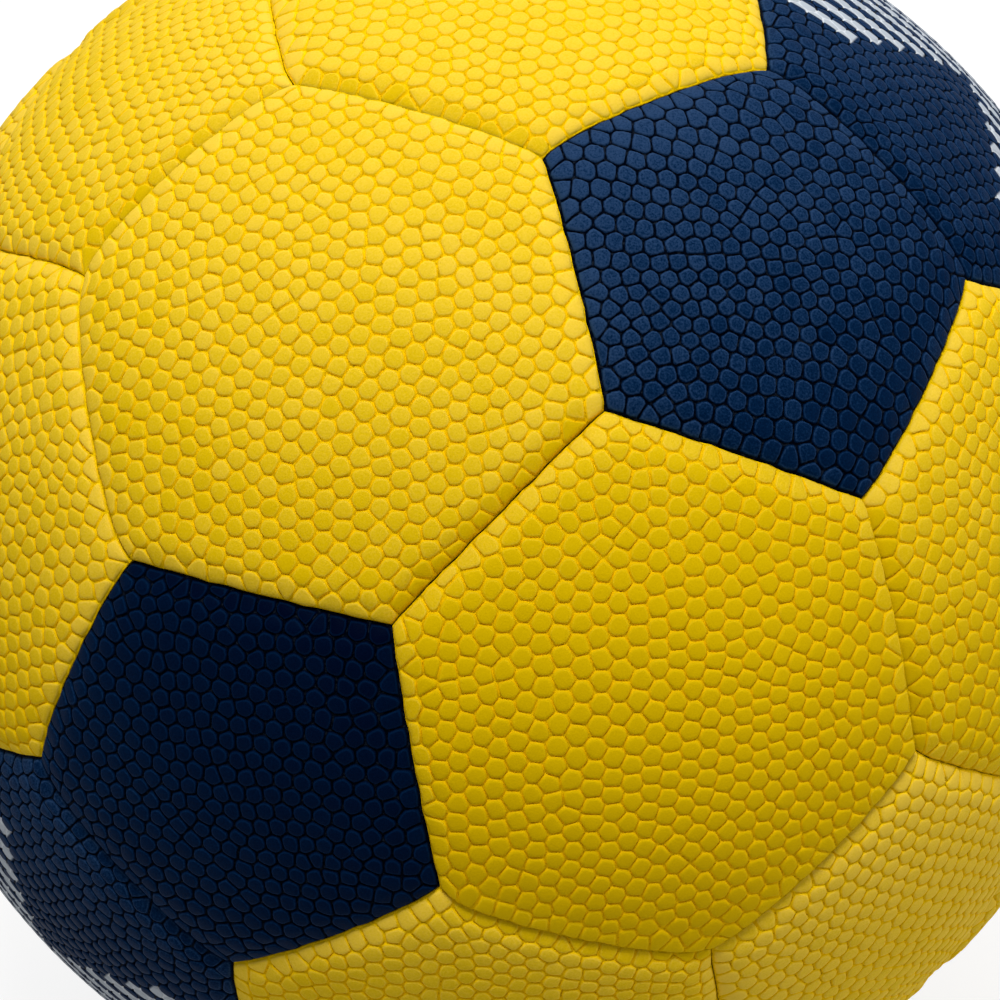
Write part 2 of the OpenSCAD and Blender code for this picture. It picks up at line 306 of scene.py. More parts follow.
class Chart:
    """A flat map of one panel in millimetres, on which its seams are straight lines"""

    def __init__(self, keys):
        self.corners = np.array([corner(*key) for key in keys])
        sides = list(zip(keys, keys[1:] + keys[:1]))
        self.bows = [seam_bow(a, b) for a, b in sides]
        self.depths = np.array([seam_depth(a, b) for a, b in sides])
        lower = np.array([seam_depth(a, b) > seam_depth(b, a) for a, b in sides])
        self.worn_and_shaded = np.where(lower, -wear_and_shade_size, wear_and_shade_size)
        self.gapes = np.array([
            seam_gapes.get((a, b), seam_gapes.get((b, a), closed_gape)) for a, b in sides])
        self.axis = unit(self.corners.sum(0))
        first = self.corners[0] - self.axis * (self.corners[0] @ self.axis)
        self.x_axis = unit(first)
        self.y_axis = np.cross(self.axis, self.x_axis)
        following = np.roll(self.corners, -1, axis=0)
        self.seams = np.array([unit(np.cross(a, b)) for a, b in zip(self.corners, following)])
        flat = np.stack([self.seams @ self.x_axis, self.seams @ self.y_axis], 1)
        length = np.linalg.norm(flat, axis=1)
        self.normals = flat / length[:, None]
        self.offsets = -ball_r * (self.seams @ self.axis) / length + seam_gap / 2
        self.half_width = -self.offsets.mean()

    def inside_by(self, xy):
        """Distance of points of the map from its nearest seam line"""
        return (xy @ self.normals.T - self.offsets).min(1)

    def gape(self, xy):
        """How far the seam nearest to each point gapes"""
        return self.gapes[(xy @ self.normals.T - self.offsets).argmin(1)]

    def wear_and_shade(self, xy):
        """How much paler than the rest the leather is beside a seam, as wear and painted light; below 0 it
        is darker, as painted shade on the side that lies lower
        """
        off = xy @ self.normals.T - self.offsets
        return self.worn_and_shaded[off.argmin(1)] * np.clip(1 - off.min(1) / wear_and_shade_reach, 0, 1)

    def to_map(self, arc):
        """Points laid out by their distances along the ball, taken to the map"""
        far = np.linalg.norm(arc, axis=1)
        share = np.where(far > 1e-9, np.tan(far / ball_r) * ball_r / np.maximum(far, 1e-9), 1)
        return arc * share[:, None]

    def stretch(self, xy):
        """How much longer the map is than the ball at a point"""
        return (1 + (xy ** 2).sum(1) / ball_r ** 2) ** 0.75

    def directions(self, xy):
        v = self.axis * ball_r + xy[:, :1] * self.x_axis + xy[:, 1:] * self.y_axis
        return v / np.linalg.norm(v, axis=1)[:, None]

    def bowed(self, directions):
        """The same directions after each seam has bowed, and the leather beside it with it"""
        shift = np.zeros_like(directions)
        following = np.roll(self.corners, -1, axis=0)
        for a, b, seam, bow in zip(self.corners, following, self.seams, self.bows):
            half = math.acos(a @ b) / 2
            way = np.cross(seam, unit(a + b))
            along = np.arctan2(directions @ way, directions @ unit(a + b)) / half
            off = np.abs(np.arcsin(np.clip(directions @ seam, -1, 1))) * ball_r
            ends = np.clip(1 - along ** 6, 0, 1)
            size = bow * ends * np.clip(1 - off / bow_reach, 0, 1) ** 2
            turned = 1 if tuple(a) < tuple(b) else -1
            near = np.clip(1 - off / stitch_wave_reach, 0, 1) ** 2
            for waves, height in stitch_waves:
                phase = turned * along * waves * math.pi + waves * a @ b
                size += turned * height * ends * near * np.sin(phase)
            shift += (size / ball_r)[:, None] * seam
        v = directions + shift
        return v / np.linalg.norm(v, axis=1)[:, None]

    def surface(self, directions):
        """Radius of the leather's face: the ball, falling away beside each seam"""
        lean = directions @ self.seams.T
        levels = [np.full((len(directions), 1), ball_r)]
        for width, share in ((pillow_w, pillow_share), (roll_w, roll_share)):
            m = share * ball_r
            slope_r2 = ball_r ** 2 + m ** 2 - 2 * width * m
            slope = m * lean + np.sqrt(slope_r2 - m ** 2 * (1 - lean ** 2))
            levels.append(ball_r - self.depths * (ball_r - slope))
        levels = np.concatenate(levels, 1)
        lowest = levels.min(1)
        below = np.exp((lowest[:, None] - levels) / slope_blend).sum(1)
        return lowest - slope_blend * np.log(below)


def pebble_sites(chart, rng, pitch):
    """Middles of the pebbles, in rows that are bent and jostled"""
    reach = int(rows_reach / pitch)
    steps = np.arange(-reach, reach + 1)
    i, j = (a.ravel().astype(float) for a in np.meshgrid(steps, steps))
    turn = rng.uniform(0, math.pi)
    grid = np.stack([i + j / 2, j * math.sqrt(3) / 2], 1) * pitch
    spin = np.array([[math.cos(turn), -math.sin(turn)], [math.sin(turn), math.cos(turn)]])
    arc = grid @ spin + rng.uniform(-1, 1, 2) * pitch
    for _ in range(row_waves):
        heading = rng.uniform(0, 2 * math.pi)
        wave = rng.uniform(*row_wave_lengths)
        along = arc @ np.array([math.cos(heading), math.sin(heading)])
        push = rng.uniform(0, 2 * math.pi)
        size = row_wave_share * wave * rng.uniform(0.5, 1)
        shift = np.sin(along * 2 * math.pi / wave + rng.uniform(*any_phase)) * size
        arc = arc + shift[:, None] * np.array([math.cos(push), math.sin(push)])
    arc = arc + rng.normal(0, jostle, arc.shape)
    far = np.linalg.norm(arc, axis=1)
    xy = chart.to_map(arc[far < kept_reach])
    return xy[chart.inside_by(xy) > border_clear]


def pebble_cells(chart, sites, pitch):
    """Corner points of the pebbles' outlines, and for each outline corner its pebble and point"""
    # Middles mirrored in the seams put the outlines' last sides right on them
    mirrored = []
    for n, d in zip(chart.normals, chart.offsets):
        depth = sites @ n - d
        near = depth < 4 * pitch
        mirrored.append(sites[near] - 2 * depth[near, None] * n)
    every = np.concatenate([sites] + mirrored)
    faces = delaunay_2d_cdt([Vector(p) for p in every], [], [], 0, 1e-9, False)
    points = np.array([tuple(p) for p in faces[0]])
    tris = np.array([f for f in faces[2] if len(f) == 3])
    if len(points) != len(every):
        raise ValueError("two pebbles share a middle")
    a, b, c = (points[tris[:, k]] for k in range(3))
    twice = 2 * ((b - a)[:, 0] * (c - a)[:, 1] - (b - a)[:, 1] * (c - a)[:, 0])
    bb, cc = ((b - a) ** 2).sum(1), ((c - a) ** 2).sum(1)
    centre_x = a[:, 0] + ((c - a)[:, 1] * bb - (b - a)[:, 1] * cc) / twice
    centre_y = a[:, 1] + ((b - a)[:, 0] * cc - (c - a)[:, 0] * bb) / twice
    centres = np.stack([centre_x, centre_y], 1)
    site = tris.ravel()
    tri = np.repeat(np.arange(len(tris)), 3)
    kept = site < len(sites)
    site, tri = site[kept], tri[kept]
    away = centres[tri] - points[site]
    order = np.lexsort((np.arctan2(away[:, 1], away[:, 0]), site))
    site, tri = site[order], tri[order]
    # Corners less than about half a micrometre apart are one
    keys = np.round(centres[tri] * 2000 + 0.137).astype(np.int64)
    _, first, label = np.unique(keys, axis=0, return_index=True, return_inverse=True)
    corner_points = centres[tri][first]
    label = label.ravel()
    while True:
        before = before_in_cell(site)
        same = label == label[before]
        if not same.any():
            return corner_points, site, label
        site, label = site[~same], label[~same]


def before_in_cell(cell):
    """Index of the entry before each one, round its own cell"""
    starts = np.flatnonzero(np.r_[True, cell[1:] != cell[:-1]])
    ends = np.r_[starts[1:], len(cell)]
    before = np.arange(len(cell)) - 1
    before[starts] = ends - 1
    return before


def after_in_cell(cell):
    before = before_in_cell(cell)
    after = np.empty_like(before)
    after[before] = np.arange(len(cell))
    return after


def middles(points, cell, label):
    """Area and middle of each outline"""
    after = after_in_cell(cell)
    p, q = points[label], points[label[after]]
    cross = p[:, 0] * q[:, 1] - p[:, 1] * q[:, 0]
    area = np.bincount(cell, cross) / 2
    x = np.bincount(cell, (p[:, 0] + q[:, 0]) * cross) / (6 * area)
    y = np.bincount(cell, (p[:, 1] + q[:, 1]) * cross) / (6 * area)
    return area, np.stack([x, y], 1)


def settled_cells(chart, rng, pitch):
    """Pebble outlines after the pebbles have evened out a little, without the smallest"""
    sites = pebble_sites(chart, rng, pitch)
    for ease in eases:
        points, cell, label = pebble_cells(chart, sites, pitch)
        area, middle = middles(points, cell, label)
        sites = sites + ease * (middle - sites)
        sites = sites[area > smallest_share * (pitch * chart.stretch(middle)) ** 2]
    return pebble_cells(chart, sites, pitch)


def chain(pairs):
    """Loops of points from the directed sides that only one pebble has"""
    after = dict(pairs)
    loops = []
    while after:
        start = next(iter(after))
        loop = [start]
        while after[loop[-1]] != start:
            loop.append(after.pop(loop[-1]))
        after.pop(loop[-1])
        loops.append(loop)
    return loops


class Form:
    """Vertices, faces, marks and texture places of one panel's leather while it is put together"""

    def __init__(self, chart, printed=None):
        self.chart = chart
        self.printed = printed
        self.xy, self.radius, self.rise, self.tone = [], [], [], []
        self.count = 0
        self.faces, self.unrolled = [], []

    def add(self, xy, radius, rise, tone):
        """Adds vertices at map points and radii, and returns the index of the first"""
        n = len(xy)
        self.xy.append(xy)
        self.radius.append(radius)
        self.rise.append(np.broadcast_to(np.asarray(rise, float), (n,)))
        self.tone.append(np.broadcast_to(np.asarray(tone, float), (n,)))
        self.count += n
        return self.count - n

    def grain_left(self, directions):
        """How much of the grooves' depth the ink leaves"""
        if self.printed is None:
            return np.ones(len(directions))
        return 1 - ink_fill * self.printed.filled(directions)

    def fill(self, *corners, unrolled=None):
        """Adds faces. Their texture lies as on the map, or where unrolled says"""
        self.faces.append(np.stack(corners, 1))
        self.unrolled.append(unrolled)

    def texture_places(self):
        """The face takes most of the sheet, and what is turned in has a strip below it"""
        xy = np.concatenate(self.xy)
        across = face_half / np.abs(xy).max()
        laid = []
        for faces, unrolled in zip(self.faces, self.unrolled):
            if unrolled is None:
                laid.append((xy[faces] * across + face_place).reshape(-1, 2))
            else:
                laid.append(unrolled.reshape(-1, 2))
        return np.concatenate(laid)


def strip(row, rows, count, columns):
    """Places of a row of faces on the strip of the sheet: how far along it each corner lies"""
    k = np.arange(count) / count
    step = 1 / count
    low, high = strip_high * row / rows + 0.002, strip_high * (row + 1) / rows - 0.002
    at = {"a": (k, high), "a2": (k + step, high), "b": (k, low), "b2": (k + step, low)}
    return np.stack([
        np.stack([0.01 + 0.98 * at[c][0], np.full(count, at[c][1])], 1) for c in columns], 1)


def drawn_back(chart, points, grain):
    """Corner points, those near a seam drawn back so that its line follows the pebbles"""
    x, y = points.T
    wave = np.sin(2.3 * x + 1.1 * y) * np.sin(1.7 * y - x)
    usual, more = grain["drawn_back"]
    near = np.clip(1 - chart.inside_by(points) / drawn_back_reach, 0, 1)
    back = (usual + more * wave) * chart.gape(points) * near
    return points * (1 - back / chart.half_width)[:, None]


def clear_of_hole(points, cell, label, hole_r):
    """The outlines without the pebbles that the valve's hole cuts"""
    limit = hole_r + hole_clear
    _, middle = middles(points, cell, label)
    near = np.bincount(cell, np.linalg.norm(points[label], axis=1) < limit) > 0
    near |= np.linalg.norm(middle, axis=1) < limit
    kept = ~near[cell]
    return np.unique(cell[kept], return_inverse=True)[1], label[kept]


def side_middles(chart, rng, points, sides, uses):
    """A point of each side a little off its middle, so that no groove is straight"""
    along = points[sides[:, 1]] - points[sides[:, 0]]
    bend = rng.normal(0, side_bend, len(sides)) * (uses == 2)
    middle = (points[sides[:, 0]] + points[sides[:, 1]]) / 2
    middle = middle + bend[:, None] * np.stack([-along[:, 1], along[:, 0]], 1)
    # The sides that lie at a seam bulge towards it
    inside = chart.inside_by(middle)
    on_seam = (uses == 1) & (inside < seam_side_reach)
    bulge = seam_side_bulge * np.linalg.norm(along, axis=1)
    out_by = np.minimum(inside - seam_side_clear, bulge) * on_seam
    return middle * (1 + out_by / chart.half_width)[:, None]


def side_distances(points, cell, label, middle):
    """For each pebble the way out to each of its sides, and how far that side is from its middle"""
    starts = np.flatnonzero(np.r_[True, cell[1:] != cell[:-1]])
    slot = np.arange(len(cell)) - starts[cell]
    rows = len(middle), slot.max() + 1
    normal = points[label[after_in_cell(cell)]] - points[label]
    length = np.linalg.norm(normal, axis=1)
    normal = np.stack([normal[:, 1], -normal[:, 0]], 1) / np.maximum(length, 1e-9)[:, None]
    distance = ((points[label] - middle[cell]) * normal).sum(1)
    normals = np.zeros((*rows, 2))
    distances = np.full(rows, far_off)
    normals[cell, slot] = normal
    distances[cell, slot] = np.where(length > shortest_side, np.maximum(distance, shortest_side), far_off)
    return normals, distances


def pebbled_face(form, rng, grain, shade, lean, hole_r):
    """The grained face of a panel. Returns its border and the rim round the valve's hole."""
    chart = form.chart
    pitch, depth = grain["pitch"], grain["depth"]
    points, cell, label = settled_cells(chart, rng, pitch)
    points = drawn_back(chart, points, grain)
    if hole_r:
        cell, label = clear_of_hole(points, cell, label, hole_r)
    area, middle = middles(points, cell, label)
    count = len(middle)
    after = after_in_cell(cell)
    ends = np.stack([label, label[after]], 1)
    sides, side_of, uses = np.unique(
        np.sort(ends, axis=1), axis=0, return_inverse=True, return_counts=True)
    side_of = side_of.ravel()
    side_mid = side_middles(chart, rng, points, sides, uses)

    # The grooves' floor, less deep at a seam
    used, place = np.unique(label, return_inverse=True)
    place = place.ravel()
    flat = np.concatenate([points[used], side_mid])
    groove = -depth * rng.uniform(0.85, 1.1, len(flat))
    groove *= 0.45 + 0.55 * np.clip((chart.inside_by(flat) - 0.1) / 0.6, 0, 1)
    on_ball = chart.directions(flat)
    base = form.add(flat, chart.surface(on_ball) + groove * form.grain_left(on_ball), 0.0, 0.5)

    spoke_cell = np.repeat(cell, 2)
    spoke_after = after_in_cell(spoke_cell)
    rim = np.stack([place, len(used) + side_of], 1).ravel()
    out = flat[rim] - middle[spoke_cell]
    normals, distances = side_distances(points, cell, label, middle)
    beyond = np.maximum((normals[spoke_cell] * out[:, None, :]).sum(2), 0)

    # Each pebble's own size, height, tilt and width of its rounded rim, and its tone: a little random,
    # plus the painted light and shade of its panel and beside the seams
    scale = chart.stretch(middle)
    size = np.sqrt(area) / scale
    full = np.clip(distances.min(1) / scale / 0.75, 0.1, 1)
    lift = rng.normal(0, 0.014, count) - 0.35 * depth * (1 - full)
    tilt = rng.normal(0, 0.022, (count, 2))
    tone = shade * rng.normal(1, 0.06, count) + (chart.directions(middle) - chart.axis) @ lean
    tone = np.clip(tone + grain["wear_and_shade"] * chart.wear_and_shade(middle), 0, 1)
    widen = rng.uniform(0.85, 1.2, count)

    previous = base + rim
    reach = np.ones(len(out))
    for inset, height, squareness, limit in zip(
            grain["insets"], ring_heights, grain["squareness"], ring_limits):
        width = np.minimum((inset * scale * widen)[:, None], limit * distances)
        left = (distances - width)[spoke_cell]
        t = (beyond / left) ** squareness
        t = 1 / t.sum(1) ** (1 / squareness)
        reach = np.minimum(t, reach * 0.97)
        xy = middle[spoke_cell] + reach[:, None] * out
        tilted = ((xy - middle[spoke_cell]) * tilt[spoke_cell]).sum(1)
        level = height * depth * (0.4 + 0.6 * full[spoke_cell]) + lift[spoke_cell] + tilted * (1 + height)
        on_ball = chart.directions(xy)
        level *= form.grain_left(on_ball)
        first = form.add(xy, chart.surface(on_ball) + level, 1 + height, tone[spoke_cell])
        ring = first + np.arange(len(xy))
        form.fill(previous, previous[spoke_after], ring[spoke_after], ring)
        previous = ring
    on_ball = chart.directions(middle)
    crown = 0.012 * size / pitch
    lift *= form.grain_left(on_ball)
    first = form.add(middle, chart.surface(on_ball) + lift + crown, 1.0, tone)
    form.fill(previous, previous[spoke_after], first + spoke_cell)

    # The sides that only one pebble has are the border and the rim of the hole
    alone = uses[side_of] == 1
    pairs = []
    for a, m, b in zip(place[alone], len(used) + side_of[alone], place[after][alone]):
        pairs += [(int(a), int(m)), (int(m), int(b))]
    loops = chain(pairs)
    loops.sort(key=lambda loop: -np.linalg.norm(flat[loop], axis=1).max())
    return [np.array(loop) + base for loop in loops]


def turned_edges(form, border, hole_rim, hole_r):
    """The edges turned in along the seams, the inside of the leather, and the way of the valve"""
    chart = form.chart
    xy = np.concatenate(form.xy)
    radius = np.concatenate(form.radius)
    ridge = ball_r - turn_in
    rim_xy = xy[border]
    top = radius[border]
    inner = rim_xy * (1 - (skin_t + seam_gap / 2) / chart.half_width)
    after = np.roll(np.arange(len(border)), -1)

    def ring_of(points, radii, rise=-1.0):
        return form.add(points, radii, rise, 0.5) + np.arange(len(points))

    # Under the scalloped rim the two edges meet along the seam's plain line
    line = rim_xy * (1 + chart.inside_by(rim_xy) / chart.half_width)[:, None]
    # The more a seam gapes, the higher up its turned edge is painted near black as shade
    shoulder = ring_of(line, top - shoulder_drop, -chart.gape(rim_xy))
    mid = ring_of(line, (top + ridge) / 2)
    foot = ring_of(line, np.full(len(border), ridge))
    lip = ring_of(inner, np.full(len(border), ridge))
    under = ring_of(inner, chart.surface(chart.directions(inner)) - skin_t)
    rings = [border, shoulder, mid, foot, lip, under]
    for share in inside_shares:
        if hole_r:
            far = np.linalg.norm(inner, axis=1)[:, None]
            points = inner * (share + (1 - share) * hole_r / far)
        else:
            points = inner * share
        rings.append(ring_of(points, chart.surface(chart.directions(points)) - skin_t))
    count, rows = len(border), len(rings) + (len(collar_rings) + 1 if hole_r else 0)
    for row, (a, b) in enumerate(zip(rings, rings[1:])):
        form.fill(a[after], a, b, b[after], unrolled=strip(row, rows, count, ("a2", "a", "b", "b2")))
    row = len(rings) - 1
    if not hole_r:
        middle = form.add(np.zeros((1, 2)), np.array([ball_r - skin_t]), -1.0, 0.5)
        unrolled = strip(row, rows, count, ("a2", "a", "b"))
        form.fill(rings[-1][after], rings[-1], np.full(count, middle), unrolled=unrolled)
        return
    # Round the valve the leather is cut plain: a smooth collar runs down into the hole
    turn = np.arctan2(xy[hole_rim][:, 1], xy[hole_rim][:, 0])
    heading = np.stack([np.cos(turn), np.sin(turn)], 1)
    next_one = np.roll(np.arange(len(hole_rim)), -1)
    outer = np.linalg.norm(xy[hole_rim], axis=1)
    collar = [hole_rim]
    for share, height in collar_rings:
        far = hole_r + share * (outer - hole_r)
        points = heading * far[:, None]
        collar.append(ring_of(points, ball_r + np.full(len(points), height), 0.9 + height))
    points = heading * hole_r
    collar.append(ring_of(points, np.full(len(points), ball_r - skin_t)))
    for step, (a, b) in enumerate(zip(collar, collar[1:])):
        down = step == len(collar) - 2
        unrolled = strip(rows - 1, rows, len(hole_rim), ("a", "b", "b2", "a2")) if down else None
        form.fill(a, b, b[next_one], a[next_one], unrolled=unrolled)
    # The inside meets the same hole
    inside, way = rings[-1], collar[-1]
    inner_turn = np.arctan2(inner[:, 1], inner[:, 0]) % (2 * math.pi)
    way_turn = turn % (2 * math.pi)
    bridge(form, inside, inner_turn, way, way_turn, row, rows)


def bridge(form, outer, outer_turn, inner, inner_turn, row, rows):
    """Fills between two rings of unlike counts round the same middle, seen from inside the ball"""
    a = [int(v) for v in outer[np.argsort(outer_turn)]]
    b = [int(v) for v in inner[np.argsort(inner_turn)]]
    at, bt = sorted(outer_turn), sorted(inner_turn)
    i = j = 0
    faces = []
    while i < len(a) or j < len(b):
        next_a = at[i + 1] if i + 1 < len(a) else at[(i + 1) % len(a)] + 2 * math.pi
        next_b = bt[j + 1] if j + 1 < len(b) else bt[(j + 1) % len(b)] + 2 * math.pi
        if j >= len(b) or (i < len(a) and next_a <= next_b):
            faces.append((a[(i + 1) % len(a)], a[i % len(a)], b[j % len(b)]))
            i += 1
        else:
            faces.append((a[i % len(a)], b[j % len(b)], b[(j + 1) % len(b)]))
            j += 1
    faces = np.array(faces)
    unrolled = strip(row, rows, len(faces), ("a2", "a", "b"))
    form.fill(faces[:, 0], faces[:, 1], faces[:, 2], unrolled=unrolled)


def leather_panel(name, keys, grain, shade, lean, seed, hole_r=0.0, printed=None):
    """One panel of grained leather, turned in along its seams, as a closed mesh"""
    rng = np.random.default_rng(seed)
    chart = Chart(keys)
    form = Form(chart, printed)
    loops = pebbled_face(form, rng, grain, shade, lean, hole_r)
    turned_edges(form, loops[0], loops[1] if hole_r else None, hole_r)

    xy = np.concatenate(form.xy)
    radius = np.concatenate(form.radius)
    straight = chart.directions(xy)
    # The leather bows less the deeper it is turned in, and its foot lies on the seam's plain line
    keep = np.clip((radius - (ball_r - turn_in)) / (turn_in - full_bow_depth), 0, 1)[:, None]
    way = straight + keep * (chart.bowed(straight) - straight)
    co = way / np.linalg.norm(way, axis=1)[:, None] * radius[:, None] / 1000
    mesh = bpy.data.meshes.new(name)
    sizes = np.concatenate([np.full(len(f), f.shape[1]) for f in form.faces])
    corners_of = np.concatenate([f.ravel() for f in form.faces])
    mesh.vertices.add(len(co))
    mesh.vertices.foreach_set("co", co.astype(np.float32).ravel())
    mesh.loops.add(len(corners_of))
    mesh.loops.foreach_set("vertex_index", corners_of.astype(np.int32))
    mesh.polygons.add(len(sizes))
    starts = np.r_[0, np.cumsum(sizes)[:-1]]
    mesh.polygons.foreach_set("loop_start", starts.astype(np.int32))
    mesh.polygons.foreach_set("use_smooth", np.ones(len(sizes), bool))
    mesh.update(calc_edges=True)
    mesh.validate()
    for mark, values in (("rise", np.concatenate(form.rise)), ("tone", np.concatenate(form.tone))):
        layer = mesh.attributes.new(mark, "FLOAT", "POINT")
        layer.data.foreach_set("value", values.astype(np.float32))
    places = mesh.uv_layers.new(name="OFBake")
    places.data.foreach_set("uv", form.texture_places().astype(np.float32).ravel())
    piece = bpy.data.objects.new(name, mesh)
    bpy.context.scene.collection.objects.link(piece)
    return piece


# Finishes

class Signal:
    """One socket of a finish, for use in plain arithmetic"""

    def __init__(self, finish, socket):
        self.finish = finish
        self.socket = socket

    def maths(self, operation, *values):
        return self.finish.node("ShaderNodeMath", {"operation": operation}, dict(enumerate(values)))

    def out(self, name):
        return Signal(self.finish, self.socket.node.outputs[name])

    def __add__(self, other):
        return self.maths("ADD", self, other)

    __radd__ = __add__

    def __sub__(self, other):
        return self.maths("SUBTRACT", self, other)

    def __rsub__(self, other):
        return self.maths("SUBTRACT", other, self)

    def __mul__(self, other):
        return self.maths("MULTIPLY", self, other)

    __rmul__ = __mul__

    def __truediv__(self, other):
        return self.maths("DIVIDE", self, other)


class Workings:
    """Shader nodes that are put together one by one"""

    def __init__(self, tree):
        self.tree = tree

    def node(self, kind, settings=None, sockets=None, output=0):
        made = self.tree.nodes.new(kind)
        for key, value in (settings or {}).items():
            setattr(made, key, value)
        for key, value in (sockets or {}).items():
            self.feed(made.inputs[key], value)
        return Signal(self, made.outputs[output])

    def feed(self, socket, value):
        if isinstance(value, Signal):
            self.tree.links.new(value.socket, socket)
        elif hasattr(value, "__len__") and len(value) == 3 and socket.type == "RGBA":
            socket.default_value = (*value, 1)
        else:
            socket.default_value = value

    def mark(self, name, output="Fac"):
        return self.node("ShaderNodeAttribute", {"attribute_name": name}, output=output)

    def place(self):
        return self.node("ShaderNodeTexCoord", output="Object")

    def noise(self, place, scale, detail=2.0, roughness=0.5):
        return self.node("ShaderNodeTexNoise", {}, {
            "Vector": place, "Scale": scale, "Detail": detail, "Roughness": roughness})

    def bands(self, place, direction, scale, distortion=0.0):
        return self.node("ShaderNodeTexWave", {"bands_direction": direction}, {
            "Vector": place, "Scale": scale, "Distortion": distortion})

    def blend(self, share, a, b):
        return self.node("ShaderNodeMix", {"data_type": "RGBA"}, {0: share, 6: a, 7: b}, output=2)

    def limits(self, value, low, high):
        """0 below low, 1 above high, and a smooth step between"""
        return self.node("ShaderNodeMapRange", {"interpolation_type": "SMOOTHSTEP"}, {
            "Value": value, "From Min": low, "From Max": high})

    def bump(self, height, depth, strength=1.0):
        """Bump whose height of 1 stands for depth in metres"""
        return self.node("ShaderNodeBump", {}, {"Height": height, "Distance": depth, "Strength": strength})

    def seen_straight(self):
        """1 for rays from the camera, and for those that come by way of a mirror or glass"""
        rays = self.node("ShaderNodeLightPath", output="Is Camera Ray")
        glossy, clear = rays.out("Is Glossy Ray"), rays.out("Is Transmission Ray")
        return rays.maths("MAXIMUM", rays, rays.maths("MAXIMUM", glossy, clear))


class Finish(Workings):
    """A procedural material"""

    def __init__(self, name, roughness=0.5, specular=0.5):
        self.material = bpy.data.materials.new(name)
        self.material.use_nodes = True
        super().__init__(self.material.node_tree)
        self.shader = self.tree.nodes["Principled BSDF"]
        self.shader.inputs["Roughness"].default_value = roughness
        self.shader.inputs["Specular IOR Level"].default_value = specular

    def surface(self, **sockets):
        for name, value in sockets.items():
            self.feed(self.shader.inputs[name.replace("_", " ").title()], value)


def grained_leather(
        name, dark, pale, painted_sheen, walls, rim, painted_rim_highlight, speckle, floor, floor_share, sheen, tint,
        stripes=None):
    """Coated leather: pebble tops with a painted highlight on their rims and a painted sheen where palest,
    steep walls, and dust in the grooves
    """
    f = Finish(name, specular=sheen)
    f.shader.inputs["Specular Tint"].default_value = (*tint, 1)
    place = f.place()
    rise = f.mark("rise")
    tone = f.mark("tone")
    broad = f.noise(place, 45, 3)
    tooth = f.noise(place, 3600, 2, 0.6)
    dust = f.noise(place, 1500, 3, 0.65)
    # Painted highlight: a thin band near the top of each pebble's rim is made paler
    rim_highlight_band = f.limits(rise, 0.70, 0.85) * (1 - f.limits(rise, 0.88, 0.97))
    paleness = tone * (1 + (broad - 0.5) * 0.5 + (tooth - 0.5) * speckle) + rim_highlight_band * painted_rim_highlight
    face = f.blend(paleness, dark, pale)
    # Painted sheen: the palest places take a whiter, sheen-like colour
    face = f.blend(f.limits(paleness, 0.35, 0.95) * 0.8, face, painted_sheen)
    colour = f.blend(f.limits(rise, *rim), f.blend(tone, *walls), face)
    dusty = (1 - f.limits(rise, 0.14, 0.40)) * f.limits(dust, 0.50, 0.64) * (0.3 + 0.7 * tone)
    colour = f.blend(dusty * floor_share, colour, floor)
    if stripes:
        ink = f.blend(f.limits(rise, 0.05, 0.9), (0.66, 0.69, 0.73), (0.46, 0.50, 0.55))
        colour = f.blend(stripes(f), colour, ink)
    # Painted shade: what is turned in at the seams is near black, for the shadow in their gaps
    colour = f.blend(f.limits(rise, -0.8, -0.1), (0.003, 0.003, 0.003), colour)
    roughness = 0.60 - 0.06 * f.limits(rise, 0.6, 1.0) + 0.2 * (tooth - 0.5)
    f.surface(base_color=colour, roughness=roughness, normal=f.bump(tooth, 0.0001, 0.5))
    return f.material


def print_stripes(f):
    """Share of white ink at each place of a navy hexagon"""
    soft = 0.03
    across = f.node("ShaderNodeSeparateXYZ", {}, {0: f.mark("print_mm", "Vector")}, "Y")
    along = across.out("X")
    step = across / stripe_pitch
    number = step.maths("FLOOR", step)
    share = step - number
    start, end = 0.5 - ink_share / 2, 0.5 + ink_share / 2
    bar = f.limits(share, start - soft, start + soft) * (1 - f.limits(share, end - soft, end + soft))
    side = along.maths("ABSOLUTE", along)
    inner = (number - full_stripes) * step_back
    beyond_last = f.limits(number, last_stripe + 0.4, last_stripe + 0.6)
    return bar * f.limits(side - inner, -0.2, 0.2) * (1 - beyond_last)


def soft_foam(name):
    """Open foam with small round cells"""
    f = Finish(name, roughness=0.85, specular=0.2)
    place = f.place()
    cells = f.node("ShaderNodeTexVoronoi", {}, {"Vector": place, "Scale": 1600.0})
    broad = f.noise(place, 60, 3)
    pores = f.limits(cells, 0.15, 0.5)
    colour = f.blend(pores * 0.4 + broad * 0.4, (0.74, 0.72, 0.64), (0.86, 0.85, 0.80))
    f.surface(base_color=colour, normal=f.bump(pores, 0.0002, 0.8))
    return f.material


def woven_cloth(name):
    """Plain weave of glued cotton and polyester"""
    f = Finish(name, roughness=0.9, specular=0.15)
    place = f.place()
    x, y, z = (f.bands(place, direction, 620.0) for direction in "XYZ")
    weave = (x + y + z) / 3
    slub = f.noise(place, 300, 3, 0.6)
    colour = f.blend(weave * 0.7 + slub * 0.3, (0.45, 0.44, 0.40), (0.66, 0.65, 0.60))
    f.surface(base_color=colour, normal=f.bump(weave, 0.00015, 0.8))
    return f.material


def waxed_thread(name):
    """Twisted black thread with a little wax on it"""
    f = Finish(name, roughness=0.6, specular=0.4)
    place = f.place()
    twist = f.bands(place, "DIAGONAL", 900.0, 1.0)
    fibre = f.noise(place, 4000, 2)
    colour = f.blend(twist * 0.6 + fibre * 0.4, (0.008, 0.008, 0.010), (0.035, 0.035, 0.04))
    f.surface(base_color=colour, roughness=0.5 + 0.25 * fibre, normal=f.bump(twist, 0.0001, 0.8))
    return f.material


